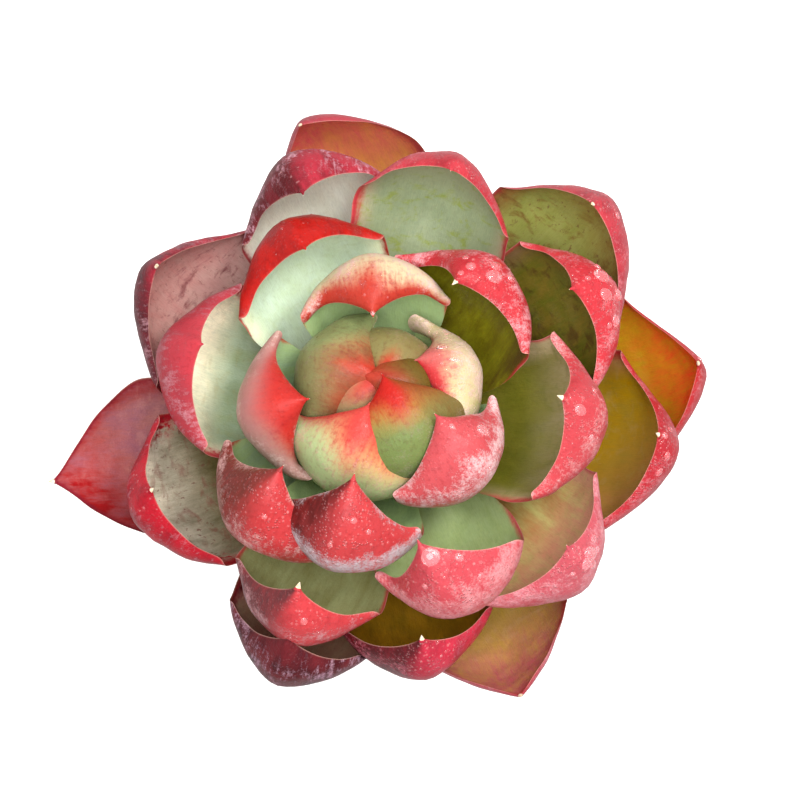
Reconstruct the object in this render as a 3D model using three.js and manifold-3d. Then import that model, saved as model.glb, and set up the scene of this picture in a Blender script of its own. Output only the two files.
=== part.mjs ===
// Potted echeveria: a rosette of thick cupped leaves on a short stem, in a plain tapered pot.
// Millimetres, +Z up. The origin is the centre of the flat underside of the pot.
import * as THREE from 'three';
import { mergeVertices } from 'three/addons/utils/BufferGeometryUtils.js';
import Module from 'manifold-3d';

const wasm = await Module();
wasm.setup();

// Pot: tapered clay pot with a rim band, four small drain holes beside the middle of its floor
const potHeight = 50;
const potBaseRadius = 20;
const potWallTopRadius = 26.6;
const potRimRadius = 28.5;
const potRimDepth = 10;
const potWall = 2.6;
const potFloor = 3.4;
const drainRadius = 2.2;
const drainCircle = 9.5;
const roundSides = 48;

// Soil: fills the pot to a little under the rim, with a plain hole that the stem stands in
const soilTop = 45.5;
const soilMound = 1.2;
const clearance = 0.3;
const stemHoleRadius = 5.2;
const stemHoleDepth = 14;

// Stem: short and thick, narrowing upwards through the rosette
const crownHeight = 55;
const stemTop = 19.5;

// Leaves: fleshy blades, cupped across and curled inwards along their length
const leafThickness = 4.0;
const budThickness = 3.0;
const budLeaves = 5;
const sectionCup = 56;
const keelDepth = 0.3;
const keelSoftness = 0.012;
const tipFlat = 0.45;
const tipFullness = 3.0;
const tipDraw = 1.45;
const widestAt = 0.58;
const baseHalfWidth = 1.8;
const innerShare = 0.3;
const steadyBend = 0.2;
const spineSteps = 240;
const lengthRows = [0, 0.14, 0.3, 0.45, 0.56, 0.65, 0.73, 0.8, 0.87, 0.94, 1];
const crossRows = [-1, -0.84, -0.5, 0, 0.5, 0.84, 1];

// One row for each leaf, innermost first. They follow each other round the stem by about
// 137.5 degrees. Columns: azimuth, reach from the axis to the back of the leaf, rise of the
// base above level, direction of the tip measured over the top, half width, where along the
// length the curl starts, and sideways twist of the tip.
const leafTable = [
  [350, 9.5, 55, 192, 6.5, 0.25, 0],
  [207, 10, 52, 192, 8, 0.25, 0],
  [68, 11, 46, 192, 9.5, 0.25, 0],
  [297, 15.6, 33, 192, 12, 0.2, 0],
  [157, 14.6, 33, 192, 11.5, 0.2, 0],
  [10, 16.4, 35, 188, 12, 0.4, 30],
  [246, 18.6, 30, 190, 12.5, 0.3, 0],
  [95, 21.7, 28, 195, 12.5, 0.45, 6],
  [315, 22.5, 28, 180, 12, 0.4, 10],
  [191, 23, 25, 189, 12.8, 0.45, 10],
  [46, 27.6, 22, 168, 14, 0.5, 18],
  [256, 29.8, 20, 176, 12.5, 0.42, 0],
  [121, 31, 17, 150, 14, 0.45, 0],
  [350, 35, 14, 150, 14.5, 0.5, 6],
  [227, 32, 14, 166, 13.5, 0.42, -8],
  [75, 39.6, 12, 135, 13.6, 0.5, -10],
  [293, 36.8, 10, 160, 12.8, 0.45, -34],
  [169, 35.5, 10, 145, 15, 0.45, 0],
  [26, 40.2, 8, 150, 14.5, 0.5, 0],
  [248.5, 40.6, 5, 142, 12.8, 0.5, 0],
  [108, 41.3, 8, 153, 14, 0.45, 15],
  [318, 42.5, 3, 130, 15, 0.5, 0],
  [204, 42.5, 0, 126, 14.3, 0.5, 0],
  [41, 47.8, 4, 128, 15.5, 0.5, 0],
  [279, 43, -2, 128, 13.3, 0.5, 0],
  [151, 43.3, 6, 120, 16.3, 0.5, 0],
  [352, 46.5, -2, 125, 16.2, 0.55, 0],
  [249.5, 45.5, -4, 134, 13, 0.5, 0],
  [97, 49.3, 2, 115, 15, 0.55, 35],
  [298, 50.5, -4, 75, 15, 0.5, -10],
  [190.5, 53.5, 1, 30, 14.5, 0.5, 0],
  [60, 44, -5, 70, 14, 0.55, 0],
  [268, 28, -4, 60, 11, 0.5, 0],
  [133, 36, -4, 80, 13, 0.5, 0],
  [8.5, 51.5, -3, 108, 16.3, 0.6, 0],
];

// Height of the attachment and distance of the attachment from the axis, from the first leaf
// down to the last one
const topAttachHeight = 19;
const attachStep = 0.55;
const topAttachRadius = 3.0;
const attachSpread = 1.5;

const clay = new THREE.MeshStandardMaterial({ color: '#b5643f', roughness: 0.85, metalness: 0 });
const earth = new THREE.MeshStandardMaterial({ color: '#3b2c22', roughness: 1, metalness: 0 });
const bark = new THREE.MeshStandardMaterial({ color: '#8a7a52', roughness: 0.8, metalness: 0 });
const budGreen = new THREE.MeshStandardMaterial({ color: '#b3a662', roughness: 0.5, metalness: 0 });
const coral = new THREE.MeshStandardMaterial({ color: '#d8505a', roughness: 0.5, metalness: 0 });
const wine = new THREE.MeshStandardMaterial({ color: '#93404c', roughness: 0.55, metalness: 0 });

const degrees = Math.PI / 180;
const clamp = (x, low, high) => Math.min(high, Math.max(low, x));

function ease(x, from, to) {
  const t = clamp((x - from) / (to - from), 0, 1);
  return t * t * (3 - 2 * t);
}

function attachRadius(share) {
  return topAttachRadius + attachSpread * share;
}

function readLeaf(row, index) {
  const [azimuth, reach, rise, tip, halfWidth, curlStart, twist] = row;
  const share = index / (leafTable.length - 1);
  const leaf = { azimuth, reach, rise, tip, halfWidth, curlStart, twist };
  leaf.thickness = index < budLeaves ? budThickness : leafThickness;
  leaf.attachRadius = attachRadius(share);
  leaf.attachHeight = topAttachHeight - attachStep * index;
  leaf.length = lengthForReach(leaf);
  return leaf;
}

// Share of the whole curl that is reached at s, from 0 at the base to 1 at the tip
function curlShare(leaf, s) {
  return steadyBend * s + (1 - steadyBend) * ease(s, leaf.curlStart, 1.02);
}

// The length that makes the back of the curled leaf reach as far out as the table says
function lengthForReach(leaf) {
  let out = 0;
  let farthest = 0;
  for (let i = 0; i <= spineSteps; i += 1) {
    const turn = (leaf.tip - leaf.rise) * curlShare(leaf, i / spineSteps);
    out += Math.cos((leaf.rise + turn) * degrees) / (spineSteps + 1);
    farthest = Math.max(farthest, out);
  }
  return (leaf.reach - leaf.attachRadius - 0.6 * leaf.thickness) / farthest;
}

// Points along the middle of the leaf with its directions: along, up off the inner face, side
function leafSpine(leaf) {
  const outward = new THREE.Vector3(
    Math.cos(leaf.azimuth * degrees), Math.sin(leaf.azimuth * degrees), 0);
  const up = new THREE.Vector3(0, 0, 1);
  const rise = leaf.rise * degrees;
  const along = outward.clone().multiplyScalar(Math.cos(rise)).addScaledVector(up, Math.sin(rise));
  const face = outward.clone().multiplyScalar(-Math.sin(rise)).addScaledVector(up, Math.cos(rise));
  const side = new THREE.Vector3().crossVectors(face, along);
  const point = outward.clone().multiplyScalar(leaf.attachRadius - 1.2);
  point.z = leaf.attachHeight;
  const stepLength = (leaf.length + 1.2) / spineSteps;
  const spine = [];
  let lastTurn = 0;
  let lastTwist = 0;
  for (let i = 0; i <= spineSteps; i += 1) {
    const s = i / spineSteps;
    const turn = (leaf.tip - leaf.rise) * curlShare(leaf, s) * degrees;
    const twist = leaf.twist * ease(s, 0.35, 1) * degrees;
    const hinge = side.clone().negate();
    along.applyAxisAngle(hinge, turn - lastTurn);
    face.applyAxisAngle(hinge, turn - lastTurn);
    along.applyAxisAngle(face, twist - lastTwist);
    side.applyAxisAngle(face, twist - lastTwist);
    if (i > 0) {
      point.addScaledVector(along, stepLength);
    }
    lastTurn = turn;
    lastTwist = twist;
    spine.push({ point: point.clone(), along: along.clone(), face: face.clone(), side: side.clone() });
  }
  return spine;
}

// Half width at s: a narrow base, the widest place past the middle and a drawn-out tip
function halfWidthAt(leaf, s) {
  if (s < widestAt) {
    const base = baseHalfWidth / leaf.halfWidth;
    return leaf.halfWidth * (base + (1 - base) * Math.sin((s / widestAt) * Math.PI / 2) ** 1.15);
  }
  const t = (s - widestAt) / (1 - widestAt);
  return leaf.halfWidth * (1 - t ** tipFullness) ** tipDraw;
}

function thicknessAt(leaf, s, v) {
  const body = 0.75 + 0.25 * Math.cos(Math.PI * clamp(s / 0.9, 0, 1));
  const base = 0.5 + 0.5 * ease(s, 0, 0.3);
  const tip = (1 - 0.55 * ease(s, 0.7, 1)) * Math.sqrt(1 - s ** 16);
  return leaf.thickness * body * base * tip * Math.sqrt(1 - Math.abs(v) ** 2.4);
}

// Middle surface of the leaf at s along and v across, from -1 to 1
function leafMiddle(leaf, spine, s, v, spare) {
  const frame = spine[Math.round(s * spineSteps)];
  if (s === 1) {
    return frame.point.clone().addScaledVector(frame.along, 1.5 * spare);
  }
  const width = halfWidthAt(leaf, s) + 1.5 * spare;
  const opening = (0.55 + 0.45 * ease(s, 0, 0.6)) * (1 - tipFlat * ease(s, 0.72, 1));
  const cup = sectionCup * degrees * opening;
  const radius = width / cup;
  const ridge = Math.sqrt(v * v + keelSoftness) - Math.sqrt(keelSoftness);
  const keel = keelDepth * ease(s, 0.45, 0.95) * width * ridge;
  return frame.point.clone()
    .addScaledVector(frame.side, radius * Math.sin(v * cup))
    .addScaledVector(frame.face, radius * (1 - Math.cos(v * cup)) + keel);
}

// A leaf as one closed solid. A spare above 0 makes it that much fatter on every side.
function leafSolid(leaf, spare) {
  const spine = leafSpine(leaf);
  const middle = lengthRows.map((s) => crossRows.map((v) => leafMiddle(leaf, spine, s, v, spare)));
  const lastRow = lengthRows.length - 1;
  const lastCross = crossRows.length - 1;
  const positions = [];
  const faces = [];
  const innerAt = [];
  const outerAt = [];
  const addPoint = (p) => {
    positions.push(p.x, p.y, p.z + crownHeight);
    return positions.length / 3 - 1;
  };
  for (let i = 0; i <= lastRow; i += 1) {
    innerAt.push([]);
    outerAt.push([]);
    for (let j = 0; j <= lastCross; j += 1) {
      const p = middle[i][j];
      if (i === lastRow && j > 0) {
        innerAt[i].push(innerAt[i][0]);
        outerAt[i].push(innerAt[i][0]);
        continue;
      }
      const across = middle[i][Math.min(j + 1, lastCross)].clone()
        .sub(middle[i][Math.max(j - 1, 0)]);
      const ahead = middle[Math.min(i + 1, lastRow)][j].clone()
        .sub(middle[Math.max(i - 1, 0)][j]);
      const normal = ahead.cross(across).normalize();
      const thick = thicknessAt(leaf, lengthRows[i], crossRows[j]);
      const edge = j === 0 || j === lastCross || i === lastRow;
      if (edge) {
        const shared = addPoint(p);
        innerAt[i].push(shared);
        outerAt[i].push(shared);
        continue;
      }
      innerAt[i].push(addPoint(p.clone().addScaledVector(normal, innerShare * thick + spare)));
      outerAt[i].push(addPoint(p.clone().addScaledVector(normal, (innerShare - 1) * thick - spare)));
    }
  }
  const addFace = (a, b, c) => {
    if (a !== b && b !== c && a !== c) {
      faces.push(a, b, c);
    }
  };
  for (let i = 0; i < lastRow; i += 1) {
    for (let j = 0; j < lastCross; j += 1) {
      addFace(innerAt[i][j], innerAt[i + 1][j], innerAt[i + 1][j + 1]);
      addFace(innerAt[i][j], innerAt[i + 1][j + 1], innerAt[i][j + 1]);
      addFace(outerAt[i][j], outerAt[i + 1][j + 1], outerAt[i + 1][j]);
      addFace(outerAt[i][j], outerAt[i][j + 1], outerAt[i + 1][j + 1]);
    }
  }
  for (let j = 0; j < lastCross; j += 1) {
    addFace(innerAt[0][j], innerAt[0][j + 1], outerAt[0][j + 1]);
    addFace(innerAt[0][j], outerAt[0][j + 1], outerAt[0][j]);
  }
  return new wasm.Manifold(new wasm.Mesh({
    numProp: 3,
    vertProperties: new Float32Array(positions),
    triVerts: new Uint32Array(faces),
  }));
}

function solidFrom(geometry) {
  const plain = geometry.clone();
  plain.deleteAttribute('normal');
  plain.deleteAttribute('uv');
  const merged = mergeVertices(plain, 1e-4);
  const index = Array.from(merged.index.array);
  const kept = [];
  for (let i = 0; i < index.length; i += 3) {
    const [a, b, c] = index.slice(i, i + 3);
    if (a !== b && b !== c && a !== c) {
      kept.push(a, b, c);
    }
  }
  return new wasm.Manifold(new wasm.Mesh({
    numProp: 3,
    vertProperties: new Float32Array(merged.attributes.position.array),
    triVerts: new Uint32Array(kept),
  }));
}

function geometryFrom(solid) {
  const mesh = solid.getMesh();
  const geometry = new THREE.BufferGeometry();
  geometry.setAttribute('position', new THREE.BufferAttribute(new Float32Array(mesh.vertProperties), 3));
  geometry.setIndex(new THREE.BufferAttribute(new Uint32Array(mesh.triVerts), 1));
  geometry.computeVertexNormals();
  return geometry;
}

// A turned solid from its profile of radius and height pairs, listed upwards round the outside
function turned(profile, sides = roundSides) {
  const points = profile.map(([radius, height]) => new THREE.Vector2(radius, height));
  const geometry = new THREE.LatheGeometry(points, sides);
  geometry.rotateX(Math.PI / 2);
  return solidFrom(geometry);
}

// The biggest separate body of a solid: slivers cut off by a neighbour are dropped
function largestBody(solid) {
  const bodies = solid.decompose();
  bodies.sort((a, b) => b.volume() - a.volume());
  return bodies[0];
}

function potSolid() {
  const shell = turned([
    [0, 0],
    [potBaseRadius - 0.8, 0],
    [potBaseRadius, 0.8],
    [potWallTopRadius, potHeight - potRimDepth],
    [potRimRadius - 0.9, potHeight - potRimDepth],
    [potRimRadius - 0.3, potHeight - potRimDepth + 0.6],
    [potRimRadius, potHeight - 0.9],
    [potRimRadius - 0.9, potHeight],
    [potWallTopRadius - potWall + 0.9, potHeight],
    [potWallTopRadius - potWall, potHeight - 0.9],
    [potBaseRadius - potWall + 0.6, potFloor + 1],
    [potBaseRadius - potWall - 0.6, potFloor],
    [0, potFloor],
  ]);
  let pot = shell;
  for (let i = 0; i < 4; i += 1) {
    const angle = (45 + 90 * i) * degrees;
    const drill = new THREE.CylinderGeometry(drainRadius, drainRadius, potFloor + 4, 16);
    drill.rotateX(Math.PI / 2);
    drill.translate(drainCircle * Math.cos(angle), drainCircle * Math.sin(angle), potFloor / 2);
    pot = pot.subtract(solidFrom(drill));
  }
  return pot;
}

function potInnerRadius(height) {
  const low = potFloor + 1;
  const high = potHeight - 0.9;
  const t = (height - low) / (high - low);
  const bottom = potBaseRadius - potWall + 0.6;
  const top = potWallTopRadius - potWall;
  return bottom + (top - bottom) * t;
}

function soilSolid() {
  const low = potFloor + clearance;
  const edge = potInnerRadius(soilTop) - clearance;
  return turned([
    [0, low],
    [potInnerRadius(low + 2) - 2.2, low],
    [potInnerRadius(low + 2) - clearance - 0.2, low + 2],
    [edge - 0.1, soilTop - 0.6],
    [edge - 0.9, soilTop],
    [edge * 0.55, soilTop + soilMound * 0.8],
    [stemHoleRadius, soilTop + soilMound],
    [stemHoleRadius, soilTop - stemHoleDepth],
    [0, soilTop - stemHoleDepth],
  ]);
}

// The stem and its root stock as one turned solid, fatter by spare
function stemSolid(spare) {
  const foot = soilTop - stemHoleDepth + clearance;
  const profile = [[0, foot - spare]];
  profile.push([2.6 + spare, foot - spare]);
  profile.push([stemHoleRadius - clearance - 0.6 + spare, foot + 5]);
  profile.push([stemHoleRadius - clearance + spare, soilTop]);
  for (let i = 0; i <= 8; i += 1) {
    const share = 1 - i / 8;
    const height = crownHeight + topAttachHeight - attachStep * (leafTable.length - 1) * share;
    profile.push([attachRadius(share) - 0.4 + spare, height]);
  }
  profile.push([attachRadius(0) - 1.4 + spare, crownHeight + stemTop + 0.6 + spare]);
  profile.push([0, crownHeight + stemTop + 1.1 + spare]);
  return turned(profile, 24);
}

const plant = new THREE.Group();
plant.name = 'potted_echeveria';

function addPiece(name, solid, material) {
  const mesh = new THREE.Mesh(geometryFrom(solid), material);
  mesh.name = name;
  plant.add(mesh);
}

const leaves = leafTable.map(readLeaf);
const stemRoom = stemSolid(clearance);
const leafRooms = leaves.map((leaf) => leafSolid(leaf, clearance + 0.05));

addPiece('pot', potSolid(), clay);
addPiece('soil', soilSolid(), earth);
addPiece('stem', stemSolid(0), bark);

leaves.forEach((leaf, index) => {
  let solid = leafSolid(leaf, 0).subtract(stemRoom);
  for (let inner = 0; inner < index; inner += 1) {
    solid = solid.subtract(leafRooms[inner]);
  }
  const number = String(index + 1).padStart(2, '0');
  const material = index < budLeaves ? budGreen : (index < 26 ? coral : wine);
  addPiece(`leaf_${number}`, largestBody(solid).simplify(0.03), material);
});

export default plant;
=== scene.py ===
# Potted echeveria: a rosette of thick, cupped, red-tipped leaves in a plain clay pot.
import math
import random

import bmesh
import bpy
import numpy as np
from mathutils import Matrix, Vector
from mathutils.bvhtree import BVHTree


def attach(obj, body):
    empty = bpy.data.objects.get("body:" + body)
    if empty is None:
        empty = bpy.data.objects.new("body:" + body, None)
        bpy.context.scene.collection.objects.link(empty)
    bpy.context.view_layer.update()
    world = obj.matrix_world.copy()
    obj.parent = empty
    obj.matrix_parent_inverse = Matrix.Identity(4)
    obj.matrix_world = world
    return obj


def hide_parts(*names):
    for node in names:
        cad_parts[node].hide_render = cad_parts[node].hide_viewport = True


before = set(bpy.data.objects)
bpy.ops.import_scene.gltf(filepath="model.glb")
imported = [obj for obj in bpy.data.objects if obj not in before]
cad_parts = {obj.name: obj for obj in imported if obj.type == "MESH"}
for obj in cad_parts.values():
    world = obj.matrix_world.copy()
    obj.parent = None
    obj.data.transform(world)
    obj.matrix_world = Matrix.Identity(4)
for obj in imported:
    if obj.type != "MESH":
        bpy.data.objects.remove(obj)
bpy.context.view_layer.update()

mm = 0.001
print("frame loaded:", len(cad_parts), "nodes")


def ease(x, start, end):
    t = np.clip((x - start) / (end - start), 0.0, 1.0)
    return t * t * (3.0 - 2.0 * t)


def hexColor(code):
    # "#rrggbb" as a linear colour with alpha
    parts = [int(code[i:i + 2], 16) / 255.0 for i in (1, 3, 5)]
    linear = [p / 12.92 if p <= 0.04045 else ((p + 0.055) / 1.055) ** 2.4 for p in parts]
    return (*linear, 1.0)


# One output of a shader node, which can be added, subtracted and multiplied
class Signal:
    def __init__(self, nodes, socket):
        self.nodes = nodes
        self.socket = socket

    def __add__(self, other):
        return self.nodes.math("ADD", self, other)

    def __sub__(self, other):
        return self.nodes.math("SUBTRACT", self, other)

    def __rsub__(self, other):
        return self.nodes.math("SUBTRACT", other, self)

    def __mul__(self, other):
        return self.nodes.math("MULTIPLY", self, other)

    def clamped(self):
        # keeps the result of the last sum between 0 and 1
        self.socket.node.use_clamp = True
        return self


# A material and short names for the nodes that its pattern is made of
class Nodes:
    def __init__(self, name):
        self.material = bpy.data.materials.new(name)
        self.material.use_nodes = True
        self.tree = self.material.node_tree
        self.tree.nodes.clear()
        self.output = self.tree.nodes.new("ShaderNodeOutputMaterial")
        self.shader = self.tree.nodes.new("ShaderNodeBsdfPrincipled")
        self.tree.links.new(self.shader.outputs["BSDF"], self.output.inputs["Surface"])

    def feed(self, socket, value):
        if isinstance(value, Signal):
            self.tree.links.new(value.socket, socket)
        else:
            socket.default_value = hexColor(value) if isinstance(value, str) else value

    def add(self, kind, result, inputs, **settings):
        # a new node with its settings and inputs, of which one output is used
        node = self.tree.nodes.new("ShaderNode" + kind)
        for name, value in settings.items():
            setattr(node, name, value)
        for name, value in inputs.items():
            self.feed(node.inputs[name], value)
        return Signal(self, node.outputs[result])

    def coords(self):
        return self.add("TexCoord", "Object", {})

    def attribute(self, name, output="Fac"):
        return self.add("Attribute", output, {}, attribute_name=name)

    def math(self, operation, a, b):
        return self.add("Math", "Value", {0: a, 1: b}, operation=operation)

    def scaled(self, vector, factors):
        return self.add("VectorMath", "Vector", {0: vector, 1: factors}, operation="MULTIPLY")

    def heightIn(self, vector):
        return self.add("SeparateXYZ", "Z", {0: vector})

    def mix(self, factor, a, b, blend="MIX"):
        return self.add("Mix", 2, {"Factor": factor, 6: a, 7: b}, data_type="RGBA", blend_type=blend)

    def noise(self, vector, scale, detail=2.0, roughness=0.5, distortion=0.0):
        return self.add("TexNoise", "Fac", {"Vector": vector, "Scale": scale, "Detail": detail,
                                            "Roughness": roughness, "Distortion": distortion})

    def cells(self, vector, scale):
        # distance from the middle of the nearest cell
        return self.add("TexVoronoi", "Distance", {"Vector": vector, "Scale": scale, "Randomness": 1.0})

    def ramp(self, value, low, high, atLow=0.0, atHigh=1.0):
        # turns low..high into atLow..atHigh and holds the ends
        return self.add("MapRange", "Result", {"Value": value, "From Min": low, "From Max": high,
                                               "To Min": atLow, "To Max": atHigh}, clamp=True)

    def bump(self, height, strength, distance, under=None):
        below = {"Normal": under} if under else {}
        return self.add("Bump", "Normal", {"Strength": strength, "Distance": distance, "Height": height,
                                           **below})

    def setShader(self, **values):
        for name, value in values.items():
            self.feed(self.shader.inputs[name.replace("_", " ")], value)


# Leaves: the same rule as the solids, in millimetres and degrees, one row for each leaf,
# innermost first. Columns: azimuth, reach, rise of the base, direction of the tip, half width,
# where along the leaf the curl starts, sideways twist, name of its skin
rosette = {
    "crown": 55.0,
    "attachTop": 19.0,
    "attachStep": 0.55,
    "attachRadius": 3.0,
    "attachSpread": 1.5,
    "rootDepth": 1.2,
    "thickness": 4.0,
    "budThickness": 3.0,
    "budLeaves": 5,
    "cup": 56.0,
    "keel": 0.3,
    "keelSoftness": 0.012,
    "tipFlat": 0.45,
    "tipFullness": 3.0,
    "tipDraw": 1.45,
    "widest": 0.58,
    "spread": 1.045,               # the fine leaves are this much wider than the solids
    "baseHalfWidth": 1.8,
    "innerShare": 0.3,
    "waviness": 0.22,
    "steadyBend": 0.2,
    "spineSteps": 240,
    "rows": 84,
    "columns": 40,
    "tuckedFrom": 20,              # this leaf and those after it are pressed down
    "tuckedUnder": 8,              # under the leaves from this one on
    "tuckReach": 14.0,
    "tuckGap": 0.3,
    "leaves": [
        (350, 9.5, 55, 192, 6.5, 0.25, 0, "budBrown"),
        (207, 10, 52, 192, 8, 0.25, 0, "budRose"),
        (68, 11, 46, 192, 9.5, 0.25, 0, "budOlive"),
        (297, 15.6, 33, 192, 12, 0.2, 0, "budGreen"),
        (157, 14.6, 33, 192, 11.5, 0.2, 0, "budSage"),
        (10, 16.4, 35, 188, 12, 0.4, 30, "cream"),
        (246, 18.6, 30, 190, 12.5, 0.3, 0, "peach"),
        (95, 21.7, 28, 195, 12.5, 0.45, 6, "blossom"),
        (315, 22.5, 28, 180, 12, 0.4, 10, "frostEdge"),
        (191, 23, 25, 189, 12.8, 0.45, 10, "mauveSide"),
        (46, 27.6, 22, 168, 14, 0.5, 18, "oliveDusk"),
        (256, 29.8, 20, 176, 12.5, 0.42, 0, "coralFrost"),
        (121, 31, 17, 150, 14, 0.45, 0, "sage"),
        (350, 35, 14, 150, 14.5, 0.5, 6, "oliveRed"),
        (227, 32, 14, 166, 13.5, 0.42, -8, "coralMauve"),
        (75, 39.6, 12, 135, 13.6, 0.5, -10, "blotchedSage"),
        (293, 36.8, 10, 160, 12.8, 0.45, -34, "coralDew"),
        (169, 35.5, 10, 145, 15, 0.45, 0, "paleBand"),
        (26, 40.2, 8, 150, 14.5, 0.5, 0, "oliveBrown"),
        (248.5, 40.6, 5, 142, 12.8, 0.5, 0, "greyHood"),
        (108, 41.3, 8, 153, 14, 0.45, 15, "greySage"),
        (318, 42.5, 3, 130, 15, 0.5, 0, "greenMaroon"),
        (204, 42.5, 0, 126, 14.3, 0.5, 0, "speckled"),
        (41, 47.8, 4, 128, 15.5, 0.5, 0, "oliveFlecked"),
        (279, 43, -2, 128, 13.3, 0.5, 0, "darkOlive"),
        (151, 43.3, 6, 120, 16.3, 0.5, 0, "greyMauve"),
        (352, 46.5, -2, 125, 16.2, 0.55, 0, "yellowOrange"),
        (249.5, 45.5, -4, 134, 13, 0.5, 0, "wine"),
        (97, 49.3, 2, 115, 15, 0.55, 35, "tan"),
        (298, 50.5, -4, 75, 15, 0.5, -10, "oliveTan"),
        (190.5, 53.5, 1, 30, 14.5, 0.5, 0, "rose"),
        (60, 44, -5, 70, 14, 0.55, 0, "amber"),
        (268, 28, -4, 60, 11, 0.5, 0, "darkOlive"),
        (133, 36, -4, 80, 13, 0.5, 0, "wine"),
        (8.5, 51.5, -3, 108, 16.3, 0.6, 0, "amber"),
    ],
}

# How each skin is coloured; what a skin leaves out comes from plainSkin. Along the leaf 0 is the
# base and 1 the tip, and along the hood 0 is the fold and 1 the tip. Across it, 1 is the
# counterclockwise margin and -1 the clockwise one, seen from above.
#   inner: colour of the inner face and of its soft mottling
#   glow: what the inner face turns to, how much, from and to along the leaf, sooner on which side
#   blotch: loose stains on the inner face and how strong; specks: dark flecks on it
#   rim: width of the red margin of the inner face in millimetres, on each side
#   back, warm: flesh of the back, and the cream or yellow it turns to, laid out as glow is
#   red, deep: red of the back with where it comes in along the leaf, and how much of it is darker
#   sooner: how much sooner the red comes in on the keel, at the margins and on one side
#   ragged: how torn the edge of the red is
#   frost: pale wax powder on the back, how much, from and to along the hood, more on which side
#   frostEdge: share of it that stays at the margins; streaky: how much it runs in streaks, pale streaks
#       that are partly wax and partly painted highlight
#   filmAndShade: thin coat on the back, pale wax on some leaves and dark painted shade on the side away
#       from
#     the light on others; how much, on which side (0 is all over), where across the leaf it sets in, and
#     where along the hood it ends
#   wet: fine dew on the back
plainSkin = {
    "inner": ("#b9cca0", "#a0b87a"), "glow": ("#b99752", 0.0, 0.35, 0.9, 0.0), "blotch": ("#8da04e", 0.0),
    "specks": 0.05, "rim": (1.0, 1.0), "back": "#8f8e65", "warm": ("#c2af7e", 0.0, 0.55, 0.75, 0.0),
    "red": ("#9e1f28", 0.3, 0.6), "deep": ("#751424", 0.45), "sooner": (0.1, 0.1, 0.0), "ragged": 1.0,
    "frost": ("#c8aaad", 0.45, 0.0, 1.0, 0.0), "frostEdge": 0.5, "streaky": 0.3,
    "filmAndShade": ("#947679", 0.0, 1.0, -0.1, 2.0), "wet": 0.15,
}
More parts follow.
